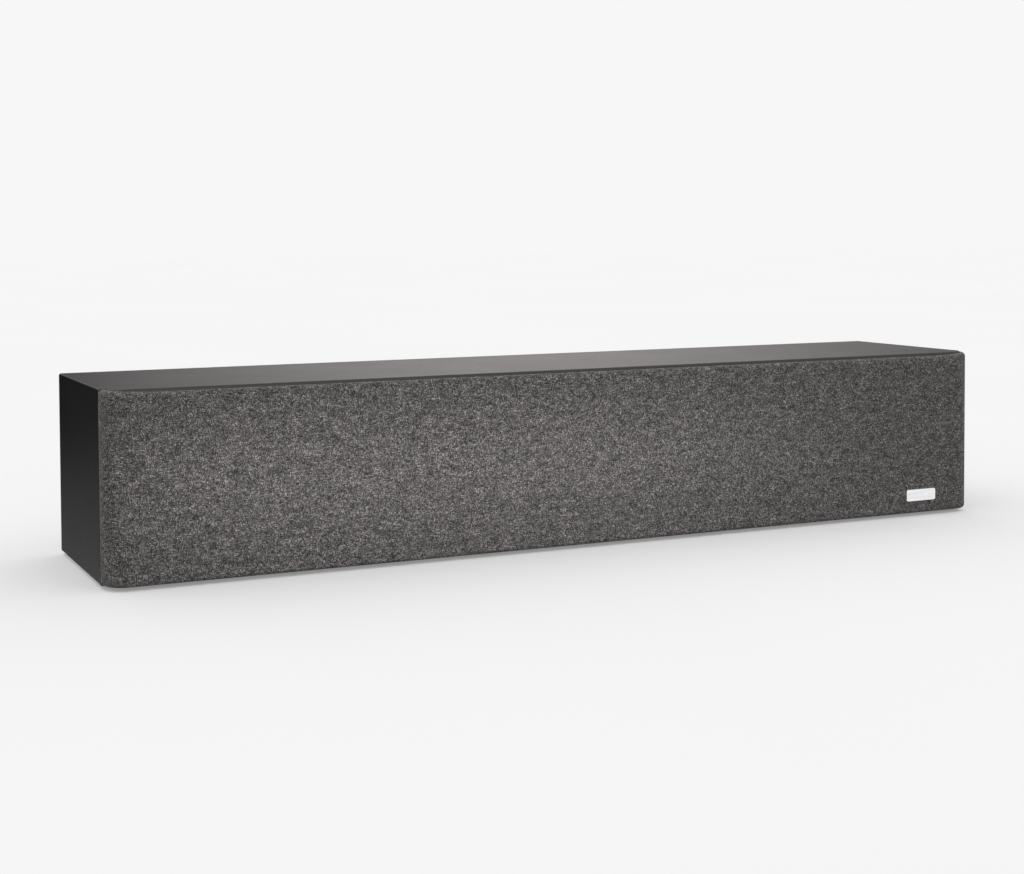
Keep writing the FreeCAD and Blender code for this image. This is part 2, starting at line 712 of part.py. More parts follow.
def woofer(name, place):
    seat_inner = "spider_seat_radius - spider_seat_width"
    basket = turned(name + "_basket_turned", FLANGE + [
        ("spider_seat_radius + basket_wall", "spider_depth"),
        ("motor_magnet_radius - basket_wall", "top_plate_depth"),
        ("motor_magnet_radius - basket_wall", "plate_back"),
        ("gap_outer", "plate_back"),
        ("gap_outer", "top_plate_depth - basket_floor"),
        (seat_inner, "top_plate_depth - basket_floor"),
        (seat_inner, "spider_depth"),
        ("spider_seat_radius", "spider_depth"),
        ("seat_inner_radius", "unit_flange + basket_wall"),
    ], place, "baffle_y", "mid_z")
    openings = [
        box(name + "_opening_across", "2 * unit_radius", "basket_window_length", "basket_window_width",
            place + " - unit_radius", "baffle_y + basket_window_start", "mid_z - basket_window_width / 2"),
        box(name + "_opening_upright", "basket_window_width", "basket_window_length", "2 * unit_radius",
            place + " - basket_window_width / 2", "baffle_y + basket_window_start", "mid_z - unit_radius"),
    ]
    node(cut(name + "_basket_cut", basket, openings + unit_holes(name, place)), name + "_basket")
    surround(name + "_surround", place)
    rim = "cone_rim_radius"
    node(turned(name + "_dish", [
        ("0", "dish_centre_depth"),
        ("dish_radius", "dish_depth"),
        ("lip_inner_radius", "0"),
        (rim, "0"),
        (rim, "cone_skin"),
        (rim + " - 1.5 * cone_skin", "cone_skin"),
        ("dish_radius", "dish_depth + 1.4 * cone_skin"),
        ("dish_radius", "neck_depth"),
        ("coil_radius - cone_skin", "neck_depth"),
        ("coil_radius - cone_skin", "neck_depth - cone_skin"),
        ("0", "dish_centre_depth + 1.4 * cone_skin"),
    ], place, "baffle_y + cone_front", "mid_z"), name + "_cone")
    node(turned(name + "_former", [
        ("coil_radius", "0"),
        ("coil_outer", "0"),
        ("coil_outer", "winding_start"),
        ("coil_outer + winding_skin", "winding_start"),
        ("coil_outer + winding_skin", "winding_start + winding_length"),
        ("coil_outer", "winding_start + winding_length"),
        ("coil_outer", "former_length"),
        ("coil_radius", "former_length"),
    ], place, "baffle_y + coil_front", "mid_z"), name + "_voice_coil")
    start = "coil_outer + seat_gap"
    reach = "(spider_seat_radius - spider_seat_width - coil_outer - seat_gap)"
    marks = [(start, 1), (start + " + 0.2 * " + reach, 1), (start + " + 0.4 * " + reach, 0),
             (start + " + 0.6 * " + reach, 2), (start + " + 0.8 * " + reach, 0), (start + " + " + reach, 1),
             ("spider_seat_radius - unit_fit", 1)]
    wave = [(r, "%d * spider_wave" % level if level else "0") for r, level in marks]
    under = [(r, "%d * spider_wave + spider_skin" % level) for r, level in reversed(marks)]
    node(turned(name + "_web", wave + under, place,
                "baffle_y + spider_depth - spider_wave - spider_skin", "mid_z"), name + "_spider")
    node(turned(name + "_ring", [
        ("motor_magnet_bore", "0"),
        ("motor_magnet_radius", "0"),
        ("motor_magnet_radius", "motor_magnet_length"),
        ("motor_magnet_bore", "motor_magnet_length"),
    ], place, "baffle_y + plate_back", "mid_z"), name + "_magnet")
    pole_top = "top_plate_depth - pole_drop"
    node(turned(name + "_pole", [
        ("0", "0"),
        ("coil_radius - coil_gap", "0"),
        ("coil_radius - coil_gap", "yoke_front - (" + pole_top + ")"),
        ("yoke_radius", "yoke_front - (" + pole_top + ")"),
        ("yoke_radius", "yoke_front + yoke_plate - (" + pole_top + ")"),
        ("0", "yoke_front + yoke_plate - (" + pole_top + ")"),
    ], place, "baffle_y + " + pole_top, "mid_z"), name + "_yoke")


def radiator(name, place):
    ring = turned(name + "_ring", FLANGE + [
        ("unit_body_radius", "radiator_ring"),
        ("seat_inner_radius", "radiator_ring"),
    ], place, "baffle_y", "mid_z")
    node(cut(name + "_frame_cut", ring, unit_holes(name, place)), name + "_frame")
    surround(name + "_surround", place)
    rim = "cone_rim_radius"
    node(turned(name + "_dish", [
        ("0", "radiator_centre_depth"),
        ("dish_radius", "radiator_dish_depth"),
        ("lip_inner_radius", "0"),
        (rim, "0"),
        (rim, "cone_skin"),
        (rim + " - 1.5 * cone_skin", "cone_skin"),
        ("dish_radius", "radiator_dish_depth + 1.4 * cone_skin"),
        ("radiator_weight_radius", "radiator_centre_depth + cone_skin"),
        ("radiator_weight_radius", "radiator_centre_depth + radiator_weight_length"),
        ("0", "radiator_centre_depth + radiator_weight_length"),
    ], place, "baffle_y + cone_front", "mid_z"), name + "_cone")


for name, place in UNITS.items():
    if name.startswith("woofer"):
        woofer(name, place)
    else:
        radiator(name, place)

# Tweeter.

faceplate = turned("faceplate_turned", [
    ("throat_radius", "throat_depth"),
    ("horn_mouth_radius", "0"),
    ("tweeter_radius", "0"),
    ("tweeter_radius", "tweeter_flange"),
    ("tweeter_body_radius", "tweeter_flange"),
    ("tweeter_body_radius", "tweeter_back_depth"),
    ("throat_radius", "tweeter_back_depth"),
], "0", "baffle_y", "mid_z")
node(cut("faceplate_cut", faceplate, unit_holes("faceplate", "0")), "tweeter_faceplate")
node(turned("dome", [
    ("0", "0"),
    ("0.5 * dome_radius", "0.16 * dome_rise"),
    ("0.85 * dome_radius", "0.6 * dome_rise"),
    ("dome_radius", "dome_rise"),
    ("dome_radius", "dome_rise + dome_coil_length"),
    ("dome_radius - dome_coil_skin", "dome_rise + dome_coil_length"),
    ("dome_radius - dome_coil_skin", "dome_rise + dome_skin"),
    ("0.83 * dome_radius", "0.6 * dome_rise + dome_skin"),
    ("0.49 * dome_radius", "0.16 * dome_rise + dome_skin"),
    ("0", "dome_skin"),
], "0", "baffle_y + dome_base - dome_rise", "mid_z"), "tweeter_dome")
edge_in = "dome_radius + dome_edge_gap"
edge_out = "throat_radius - dome_edge_gap"
node(turned("dome_edge", [
    (edge_in, "dome_skin"),
    (edge_in + " + dome_skin", "0"),
    (edge_out + " - dome_skin", "0"),
    (edge_out, "dome_skin"),
    (edge_out, "2 * dome_skin"),
    (edge_in, "2 * dome_skin"),
], "0", "baffle_y + tweeter_back_depth - 2 * dome_skin", "mid_z"), "tweeter_surround")
node(turned("tweeter_plate_ring", [
    ("dome_radius + coil_gap", "0"),
    ("tweeter_body_radius", "0"),
    ("tweeter_body_radius", "tweeter_plate"),
    ("dome_radius + coil_gap", "tweeter_plate"),
], "0", "baffle_y + tweeter_back_depth", "mid_z"), "tweeter_top_plate")
node(turned("tweeter_magnet_ring", [
    ("throat_radius", "0"),
    ("tweeter_body_radius", "0"),
    ("tweeter_body_radius", "tweeter_magnet_length"),
    ("throat_radius", "tweeter_magnet_length"),
], "0", "baffle_y + tweeter_plate_back", "mid_z"), "tweeter_magnet")
dome_pole = "dome_radius - dome_coil_skin - coil_gap"
node(turned("tweeter_pole", [
    ("0", "0"),
    (dome_pole, "0"),
    (dome_pole, "tweeter_yoke_front - tweeter_back_depth - pole_drop"),
    ("tweeter_body_radius", "tweeter_yoke_front - tweeter_back_depth - pole_drop"),
    ("tweeter_body_radius", "tweeter_yoke_front - tweeter_back_depth - pole_drop + tweeter_yoke_plate"),
    ("0", "tweeter_yoke_front - tweeter_back_depth - pole_drop + tweeter_yoke_plate"),
], "0", "baffle_y + tweeter_back_depth + pole_drop", "mid_z"), "tweeter_yoke")

# Terminals and hangers on the back.

cup = turned("cup_turned", [
    ("0", "0"),
    ("cup_outer_radius", "0"),
    ("cup_outer_radius", "cup_depth + cup_floor - cup_flange"),
    ("cup_flange_radius", "cup_depth + cup_floor - cup_flange"),
    ("cup_flange_radius", "cup_depth + cup_floor"),
    ("cup_mouth_radius", "cup_depth + cup_floor"),
    ("cup_radius", "cup_floor"),
    ("0", "cup_floor"),
], "0", "cup_y", "mid_z")
POSTS = {"left": "-post_pitch / 2", "right": "post_pitch / 2"}
cup_tools = [rod("stud_hole_" + side, "stud_radius", "cup_floor", x, "cup_y", "mid_z")
             for side, x in POSTS.items()]
cup_tools += screw_holes("cup", lambda spot: spot[3] and spot[0].startswith("0 "))
node(cut("cup_cut", cup, cup_tools), "terminal_cup")

# Directions of the grooves round a cap, as shares of its radius across and up.
FLUTES = [("1", "0"), ("-1", "0"), ("0", "1"), ("0", "-1")]
FLUTES += [(a + "diagonal", b + "diagonal") for a in ("", "-") for b in ("", "-")]

nuts = []
for side, x in POSTS.items():
    in_floor = "stud_inside + cup_floor"
    tip = in_floor + " + stud_outside"
    node(turned("stud_" + side, [
        ("0", "0"),
        ("stud_radius", "0"),
        ("stud_radius", in_floor),
        ("collar_radius", in_floor),
        ("collar_radius", in_floor + " + collar_length"),
        ("stud_radius", in_floor + " + collar_length"),
        ("stud_radius", tip),
        ("banana_radius", tip),
        ("banana_radius", tip + " - banana_depth"),
        ("0", tip + " - banana_depth"),
    ], x, "cup_y - stud_inside", "mid_z"), "binding_post_" + side)
    bore = "stud_radius + seat_gap"
    node(turned("washer_" + side, [
        (bore, "0"),
        ("collar_radius", "0"),
        ("collar_radius", "washer_thickness"),
        (bore, "washer_thickness"),
    ], x, "washer_y", "mid_z"), "clamp_washer_" + side)
    sleeve = turned("cap_turned_" + side, [
        (bore, "0"),
        ("cap_radius", "0"),
        ("cap_radius", "cap_length"),
        (bore, "cap_length"),
    ], x, "cap_y", "mid_z")
    flutes = []
    for i, (across, up) in enumerate(FLUTES):
        flutes.append(rod("flute_%s_%d" % (side, i), "cap_flute_radius", "cap_length",
                          "%s + %s * cap_radius" % (x, across), "cap_y", "mid_z + %s * cap_radius" % up))
    node(cut("cap_cut_" + side, sleeve, flutes), "post_cap_" + side)
    hexagon = doc.addObject("Part::Prism", "nut_hexagon_" + side)
    hexagon.Polygon = 6
    tie(hexagon, Circumradius="nut_radius", Height="nut_length")
    put(hexagon, x, "cup_y - nut_length", "mid_z", TO_BACK)
    nuts.append(cut("nut_" + side, hexagon, [rod("nut_bore_" + side, "stud_radius", "nut_length",
                                                 x, "cup_y - nut_length", "mid_z")]))
group("post_nuts", nuts)

for side, place in (("left", "-hanger_offset"), ("right", "hanger_offset")):
    sheet_metal = hanger_blank("hanger_blank_" + side, place)
    low = "mid_z - hanger_slot_rise / 2"
    tools = [
        rod("keyhole_round_" + side, "hanger_hole_radius", "hanger_thickness", place,
            "back_y - hanger_thickness", low),
        rod("keyhole_end_" + side, "hanger_slot_radius", "hanger_thickness", place,
            "back_y - hanger_thickness", low + " + hanger_slot_rise"),
        box("keyhole_slot_" + side, "2 * hanger_slot_radius", "hanger_thickness", "hanger_slot_rise",
            place + " - hanger_slot_radius", "back_y - hanger_thickness", low),
    ]
    tools += screw_holes("hanger_" + side, lambda spot: spot[0] == place)
    node(cut("hanger_cut_" + side, sheet_metal, tools), "hanger_plate_" + side)

group("screws", [screw_shape("screw_%d" % i, *place, "0") for i, place in enumerate(SCREWS)])

# Crossover and damping inside.

node(box("board", "board_length", "board_depth", "board_thickness", "board_x", "board_y", "inner_z"),
     "crossover_board")
board_top = "inner_z + board_thickness"
coil = rod("coil_body", "inductor_radius", "inductor_length", "board_x + inductor_radius + board_edge_gap",
           "board_y + board_depth / 2", board_top, upright=True)
core = rod("coil_core", "inductor_bore", "inductor_length", "board_x + inductor_radius + board_edge_gap",
           "board_y + board_depth / 2", board_top, upright=True)
node(cut("coil_cut", coil, [core]), "inductor")
node(rod("capacitor_body", "capacitor_radius", "capacitor_length",
         "board_x + board_length - capacitor_radius - capacitor_inset",
         "board_y + board_edge_gap", board_top + " + capacitor_radius"), "capacitor")
PADS = {
    "left": "wall + pad_clearance - half_width",
    "right": "half_width - wall - pad_clearance - pad_length",
}
for side, x in PADS.items():
    node(box("pad_" + side, "pad_length", "pad_depth", "inner_height - 2 * pad_clearance", x,
             "rear_y - pad_depth", "inner_z + pad_clearance"), "damping_pad_" + side)

doc.recompute()
os.makedirs("parts", exist_ok=True)
for thing in doc.Objects:
    if "Invalid" in thing.State or "Error" in thing.State:
        raise RuntimeError("not built: " + thing.Label)
for thing in NODES:
    shape = thing.Shape
    if shape.isNull() or not shape.isValid() or not shape.Solids:
        raise RuntimeError("no sound solid: " + thing.Label)
for thing in NODES:
    thing.Shape.exportStep("parts/%s.step" % thing.Label)
print(len(NODES), "pieces written")
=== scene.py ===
import json
import math

import bmesh
import bpy
from mathutils import Matrix, Vector, noise


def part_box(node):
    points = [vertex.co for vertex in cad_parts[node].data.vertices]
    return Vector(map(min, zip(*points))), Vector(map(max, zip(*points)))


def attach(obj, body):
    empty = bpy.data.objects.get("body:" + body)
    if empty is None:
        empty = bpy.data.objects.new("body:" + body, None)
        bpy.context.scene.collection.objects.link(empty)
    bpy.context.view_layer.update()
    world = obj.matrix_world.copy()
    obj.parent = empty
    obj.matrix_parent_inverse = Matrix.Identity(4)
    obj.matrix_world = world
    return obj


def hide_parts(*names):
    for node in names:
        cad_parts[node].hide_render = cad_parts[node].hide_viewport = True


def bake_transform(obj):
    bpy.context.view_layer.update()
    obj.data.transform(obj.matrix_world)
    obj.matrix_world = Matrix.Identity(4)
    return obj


# Looks of a slim left-centre-right loudspeaker: the finish of every part, the stretched grille cloth,
# the parts that flex, the screws, and a plain pale studio round them. Metres, +Z up, front towards -Y.

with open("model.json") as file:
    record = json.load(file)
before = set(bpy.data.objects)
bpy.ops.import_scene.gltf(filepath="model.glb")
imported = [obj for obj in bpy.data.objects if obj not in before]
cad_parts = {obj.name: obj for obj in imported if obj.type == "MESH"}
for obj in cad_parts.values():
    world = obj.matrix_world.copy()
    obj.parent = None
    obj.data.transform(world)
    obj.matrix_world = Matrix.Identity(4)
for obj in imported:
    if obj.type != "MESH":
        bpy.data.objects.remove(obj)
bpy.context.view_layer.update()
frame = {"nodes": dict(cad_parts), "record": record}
scene = bpy.context.scene
MM = 0.001


# Materials.

class Paint:
    """A material with one surface shader, and short ways to add nodes to it."""

    def __init__(self, name, **values):
        self.material = bpy.data.materials.new(name)
        self.material.use_nodes = True
        self.tree = self.material.node_tree
        self.surface = self.tree.nodes["Principled BSDF"]
        for socket, value in values.items():
            self.surface.inputs[socket.replace("_", " ")].default_value = value

    def feed(self, socket, value):
        """Give an input a plain value, or join another node's output to it."""
        if isinstance(value, bpy.types.NodeSocket):
            self.tree.links.new(value, socket)
        else:
            socket.default_value = value

    def add(self, kind, feeds=None, **settings):
        made = self.tree.nodes.new("ShaderNode" + kind)
        for key, value in settings.items():
            setattr(made, key, value)
        for key, value in (feeds or {}).items():
            self.feed(made.inputs[key], value)
        return made

    def math(self, operation, a, b=0.0):
        return self.add("Math", {0: a, 1: b}, operation=operation).outputs[0]

    def place(self):
        """Points of the piece in its own frame, in metres."""
        return self.add("TexCoord").outputs["Object"]

    def parts(self, vector):
        """The X, Y and Z of a vector, by name."""
        return self.add("SeparateXYZ", {0: vector}).outputs

    def joined(self, x, y):
        return self.add("CombineXYZ", {"X": x, "Y": y}).outputs[0]

    def stretch(self, points, factors):
        return self.add("VectorMath", {0: points, 1: factors}, operation="MULTIPLY").outputs[0]

    def noise(self, points, scale, detail):
        feeds = {"Vector": points, "Scale": scale, "Detail": detail}
        return self.add("TexNoise", feeds).outputs["Fac"]

    def cells(self, points, scale):
        return self.add("TexVoronoi", {"Vector": points, "Scale": scale}).outputs["Distance"]

    def spread(self, value, low, high, onto_low, onto_high):
        """Map a range of values onto another one."""
        feeds = {"Value": value, "From Min": low, "From Max": high}
        feeds.update({"To Min": onto_low, "To Max": onto_high})
        return self.add("MapRange", feeds).outputs["Result"]

    def ramp(self, factor, stops):
        """A run of colours. Each stop is (position, colour)."""
        made = self.add("ValToRGB", {"Fac": factor})
        elements = made.color_ramp.elements
        elements[0].position = stops[0][0]
        elements[1].position = stops[-1][0]
        for stop in stops[1:-1]:
            elements.new(stop[0])
        for element, stop in zip(elements, stops):
            element.color = (*stop[1], 1.0)
        return made.outputs["Color"]

    def blend(self, factor, a, b, kind="MIX"):
        made = self.add("Mix", data_type="RGBA", blend_type=kind)
        inputs = [socket for socket in made.inputs if socket.type == "RGBA"]
        self.feed(made.inputs["Factor"], factor)
        self.feed(inputs[0], a)
        self.feed(inputs[1], b)
        return [socket for socket in made.outputs if socket.type == "RGBA"][0]

    def colour(self, value):
        self.feed(self.surface.inputs["Base Color"], value)

    def roughness(self, value):
        self.feed(self.surface.inputs["Roughness"], value)

    def relief(self, height, depth, strength=1.0):
        """Bumps of a real depth in metres."""
        made = self.add("Bump", {"Height": height, "Distance": depth, "Strength": strength})
        self.feed(self.surface.inputs["Normal"], made.outputs["Normal"])


def shade(colour, factor):
    return tuple(min(1.0, part * factor) for part in colour)


# Most of a noise lies between these two values.
NOISE_LOW = 0.3
NOISE_HIGH = 0.7
# Slow changes of tone in a metre, and their share of the tone.
SLOW_COUNT = 40.0
SLOW_SHARE = 0.35


def grained(name, colour, contrast, grain, depth, rough, stretch=(1.0, 1.0, 1.0), **values):
    """A surface with a fine grain, a slow change of tone, and roughness that changes with both.

    Grain is the number of grains in a metre, depth their height in metres, rough a (low, high) pair.
    """
    paint = Paint(name, **values)
    points = paint.place()
    fine = paint.noise(paint.stretch(points, stretch), grain, 4.0)
    slow = paint.noise(points, SLOW_COUNT, 2.0)
    tone = paint.blend(SLOW_SHARE, fine, slow)
    dark = shade(colour, 1.0 - contrast)
    light = shade(colour, 1.0 + contrast)
    paint.colour(paint.ramp(tone, [(NOISE_LOW, dark), (NOISE_HIGH, light)]))
    paint.roughness(paint.spread(tone, NOISE_LOW, NOISE_HIGH, *rough))
    paint.relief(fine, depth)
    return paint.material


# The wrap's grains, by their number in a metre, and what two of them add to the pips.
PIP_COUNT = 2600.0
GRIT_COUNT = 1500.0
HIDE_COUNT = 600.0
HAZE_COUNT = 16.0
GRIT_SHARE = 0.6
HIDE_SHARE = 0.8
WRAP_RELIEF = 0.02 * MM
WRAP_BLACKS = [(0.0, (0.0075, 0.0077, 0.0082)), (1.0, (0.0125, 0.0128, 0.0135))]
HAZE_ROUGHNESS = (0.425, 0.455)
HIDE_ROUGHNESS = (0.0, 0.05)
# The painted highlight on the crest starts and is full this far below the top.
HIGHLIGHT_START = 0.6 * MM
HIGHLIGHT_FULL = 0.4 * MM
PAINTED_HIGHLIGHT = (0.200, 0.189, 0.181, 1.0)


def wrap_material():
    """Satin black vinyl: pips 0.4 mm wide on a coarser leathery grain, and a little handling haze."""
    paint = Paint("cabinet_wrap", Specular_IOR_Level=0.5)
    points = paint.place()
    pips = paint.cells(points, PIP_COUNT)
    grit = paint.noise(points, GRIT_COUNT, 3.0)
    hide = paint.noise(points, HIDE_COUNT, 2.0)
    haze = paint.noise(points, HAZE_COUNT, 3.0)
    fine = paint.math("ADD", pips, paint.math("MULTIPLY", grit, GRIT_SHARE))
    fine = paint.math("ADD", fine, paint.math("MULTIPLY", hide, HIDE_SHARE))
    black = paint.ramp(paint.spread(grit, NOISE_LOW, NOISE_HIGH, 0.0, 1.0), WRAP_BLACKS)
    # At both ends, the crest of the fold over the upper edges gets a painted highlight: paler where it
    # faces up and sideways.
    facing = paint.parts(paint.add("TexCoord").outputs["Normal"])
    sideways = paint.math("ABSOLUTE", facing["X"])
    upward = paint.math("MAXIMUM", facing["Z"], 0.0)
    fold = paint.math("MULTIPLY", paint.math("MULTIPLY", sideways, upward), 2.0)
    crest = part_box("top_panel")[1].z
    near_crest = paint.spread(paint.parts(points)["Z"], crest - HIGHLIGHT_START, crest - HIGHLIGHT_FULL, 0.0, 1.0)
    highlight_share = paint.math("MULTIPLY", fold, near_crest)
    paint.colour(paint.blend(highlight_share, black, PAINTED_HIGHLIGHT))
    smooth = paint.spread(haze, NOISE_LOW, NOISE_HIGH, *HAZE_ROUGHNESS)
    coarse = paint.spread(hide, NOISE_LOW, NOISE_HIGH, *HIDE_ROUGHNESS)
    paint.roughness(paint.math("ADD", smooth, coarse))
    paint.relief(fine, WRAP_RELIEF, 0.5)
    return paint.material


CLOTH_PITCH = 0.62 * MM
CLOTH_RELIEF = 0.12 * MM
CLOTH_MAP = "cloth"
# Slubs in a metre of each yarn, and how far their pattern shifts from yarn to yarn.
WEFT_SLUBS = 330.0
WARP_SLUBS = 420.0
YARN_SHIFT = 7.31
CROSSING_CHANGE = 0.12
HEATHER = [(0.31, (0.0206, 0.0195, 0.0194)), (0.468, (0.0906, 0.0850, 0.0847)),
           (0.59, (0.2110, 0.1960, 0.1940)), (0.745, (0.5560, 0.5150, 0.5100))]
PATCH_COUNT = 190.0
PATCH_SHADES = (0.66, 1.34)
# Painted shade in the low parts of the weave: the share of the colour from the lowest to the highest.
PAINTED_HOLLOW_SHADES = (0.45, 1.0)
FLECK_COUNT = 900.0
FLECK_TINTS = [(0.30, (0.95, 1.03, 0.97)), (0.50, (1.0, 1.0, 1.0)), (0.70, (1.05, 0.98, 0.98))]
FIBRE_COUNT = 6000.0
FIBRE_SHARE = 0.35


def cloth_material():
    """Charcoal heather in a plain weave. Its yarns differ from each other and along their length."""
    paint = Paint("grille_cloth", Roughness=0.9, Specular_IOR_Level=0.15,
                  Sheen_Weight=0.12, Sheen_Roughness=0.5)
    points = paint.add("UVMap", uv_map=CLOTH_MAP).outputs["UV"]
    split = paint.parts(points)
    yarns = {}
    for axis in ("X", "Y"):
        count = paint.math("DIVIDE", split[axis], CLOTH_PITCH)
        index = paint.math("FLOOR", count)
        off_centre = paint.math("SUBTRACT", paint.math("FRACT", count), 0.5)
        crown = paint.math("COSINE", paint.math("MULTIPLY", off_centre, math.pi))
        yarns[axis] = (index, crown)
    warp_index, warp_crown = yarns["X"]
    weft_index, weft_crown = yarns["Y"]
    # At each crossing one yarn is on top, in turn, as on a chessboard.
    parity = paint.math("FLOORED_MODULO", paint.math("ADD", warp_index, weft_index), 2.0)
    side = paint.math("SUBTRACT", parity, 0.5)
    warp_lift = paint.math("ADD", paint.math("MULTIPLY", side, weft_crown), 0.5)
    weft_lift = paint.math("SUBTRACT", 0.5, paint.math("MULTIPLY", side, warp_crown))
    warp_height = paint.math("MULTIPLY", warp_crown, warp_lift)
    weft_height = paint.math("MULTIPLY", weft_crown, weft_lift)
    height = paint.math("MAXIMUM", warp_height, weft_height)
    weft_on_top = paint.math("GREATER_THAN", weft_height, warp_height)
    # Slubs: light and dark stretches a few millimetres long in every yarn.
    weft_points = paint.joined(paint.math("MULTIPLY", split["X"], WEFT_SLUBS),
                               paint.math("MULTIPLY", weft_index, YARN_SHIFT))
    warp_points = paint.joined(paint.math("MULTIPLY", warp_index, YARN_SHIFT),
                               paint.math("MULTIPLY", split["Y"], WARP_SLUBS))
    weft_tone = paint.noise(weft_points, 1.0, 3.0)
    warp_tone = paint.noise(warp_points, 1.0, 3.0)
    yarn_tone = paint.blend(weft_on_top, warp_tone, weft_tone)
    # Every crossing has a tone of its own as well, because the yarns are spun from light and dark fibres.
    crossing = paint.joined(warp_index, weft_index)
    chance = paint.add("TexWhiteNoise", {"Vector": crossing}).outputs["Value"]
    change = paint.spread(chance, 0.0, 1.0, -CROSSING_CHANGE, CROSSING_CHANGE)
    light = paint.ramp(paint.math("ADD", yarn_tone, change), HEATHER)
    # Cloudy patches over many yarns, longer across than up, and painted shade where the weave lies low.
    patch = paint.noise(paint.stretch(points, (0.55, 1.0, 1.0)), PATCH_COUNT, 2.0)
    cloud = paint.spread(patch, 0.25, 0.75, *PATCH_SHADES)
    # Painted shade: the colour darkens where the weave lies low between the yarns.
    painted_hollow_shade = paint.spread(height, 0.0, 0.7, *PAINTED_HOLLOW_SHADES)
    patches_and_painted_shade = paint.math("MULTIPLY", cloud, painted_hollow_shade)
    grey = paint.add("CombineColor", {0: patches_and_painted_shade, 1: patches_and_painted_shade, 2: patches_and_painted_shade}).outputs[0]
    shaded = paint.blend(1.0, light, grey, "MULTIPLY")
    # A few flecks lean to green or to rose.
    fleck = paint.noise(paint.stretch(points, (0.7, 1.0, 1.0)), FLECK_COUNT, 1.0)
    paint.colour(paint.blend(1.0, shaded, paint.ramp(fleck, FLECK_TINTS), "MULTIPLY"))
    fibres = paint.noise(points, FIBRE_COUNT, 2.0)
    surface = paint.math("ADD", height, paint.math("MULTIPLY", fibres, FIBRE_SHARE))
    paint.relief(surface, CLOTH_RELIEF, 0.6)
    return paint.material


SCRATCH_CONTRAST = 0.10
SCRATCH_COUNT = 900.0
SCRATCH_DEPTH = 0.004 * MM


def brushed(name, colour, rough, stretch=(1.0, 1.0, 1.0)):
    """Metal with fine scratches, drawn out along an axis where its stretch is small."""
    return grained(name, colour, SCRATCH_CONTRAST, SCRATCH_COUNT, SCRATCH_DEPTH, rough, stretch,
                   Metallic=1.0)


ALONG_X = (0.05, 1.0, 1.0)
ALONG_Y = (1.0, 0.05, 1.0)
WOUND = (0.2, 0.2, 1.0)
BOARD_FIBRE = (1.0, 0.4, 0.4)
MATERIALS = {
    "cabinet_wrap": wrap_material(),
    "grille_cloth": cloth_material(),
    "baffle_paint": grained("baffle_paint", (0.010, 0.010, 0.0105), 0.25, 2400.0, 0.015 * MM, (0.50, 0.62)),
    "raw_board": grained("raw_board", (0.42, 0.30, 0.19), 0.22, 1500.0, 0.05 * MM, (0.75, 0.9),
                         BOARD_FIBRE),
    "black_plastic": grained("black_plastic", (0.013, 0.013, 0.014), 0.20, 3200.0, 0.02 * MM, (0.42, 0.55)),
    "nickel": brushed("nickel", (0.62, 0.61, 0.58), (0.18, 0.30), ALONG_X),
    "bare_plate": brushed("bare_plate", (0.80, 0.80, 0.81), (0.24, 0.36), ALONG_X),
    "basket_paint": grained("basket_paint", (0.020, 0.020, 0.021), 0.20, 1800.0, 0.02 * MM, (0.40, 0.55)),
    "surround_rubber": grained("surround_rubber", (0.016, 0.016, 0.016), 0.20, 2200.0, 0.01 * MM,
                               (0.45, 0.60)),
    "cone_skin": grained("cone_skin", (0.060, 0.060, 0.062), 0.35, 1100.0, 0.05 * MM, (0.60, 0.80)),
    "coil": brushed("coil", (0.60, 0.42, 0.26), (0.25, 0.40), ALONG_Y),
    "spider_cloth": grained("spider_cloth", (0.52, 0.33, 0.12), 0.30, 1600.0, 0.08 * MM, (0.70, 0.90)),
    "ferrite": grained("ferrite", (0.055, 0.053, 0.051), 0.30, 2600.0, 0.03 * MM, (0.60, 0.75)),
    "zinc_steel": brushed("zinc_steel", (0.52, 0.52, 0.50), (0.25, 0.42)),
    "dome": brushed("dome", (0.56, 0.56, 0.57), (0.28, 0.40)),
    "plated_brass": brushed("plated_brass", (0.80, 0.61, 0.26), (0.14, 0.26), ALONG_Y),
    "red_cap": grained("red_cap", (0.40, 0.012, 0.012), 0.15, 700.0, 0.01 * MM, (0.18, 0.30),
                       Coat_Weight=0.3),
    "black_cap": grained("black_cap", (0.012, 0.012, 0.012), 0.15, 700.0, 0.01 * MM, (0.18, 0.30),
                         Coat_Weight=0.3),
    "hanger_steel": brushed("hanger_steel", (0.11, 0.11, 0.11), (0.30, 0.45), ALONG_X),
    "black_screws": grained("black_screws", (0.035, 0.035, 0.036), 0.30, 1500.0, 0.01 * MM, (0.28, 0.42),
                            Metallic=0.8),
    "foot_rubber": grained("foot_rubber", (0.018, 0.018, 0.018), 0.25, 2200.0, 0.02 * MM, (0.70, 0.85)),
    "circuit_board": grained("circuit_board", (0.03, 0.14, 0.06), 0.20, 900.0, 0.02 * MM, (0.30, 0.45)),
    "copper_winding": brushed("copper_winding", (0.55, 0.25, 0.10), (0.25, 0.40), WOUND),
    "capacitor_film": grained("capacitor_film", (0.55, 0.38, 0.08), 0.12, 500.0, 0.01 * MM, (0.20, 0.35)),
    "wadding": grained("wadding", (0.72, 0.72, 0.70), 0.20, 900.0, 0.4 * MM, (0.90, 1.0)),
}
SLOTS = {part["node"]: part["material_slot"] for part in frame["record"]["subparts"]}

for node, slot in SLOTS.items():
    mesh = frame["nodes"][node].data
    mesh.materials.clear()
    mesh.materials.append(MATERIALS[slot])


# Pieces.

def piece(name, mesh, slot, body="cabinet", stands_for=()):
    """Show a mesh as a piece of the object, with its finish and the body that it moves with."""
    made = bpy.data.objects.new(name, mesh)
    scene.collection.objects.link(made)
    mesh.materials.append(MATERIALS[slot])
    if body:
        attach(made, body)
    if stands_for:
        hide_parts(*stands_for)
    return made


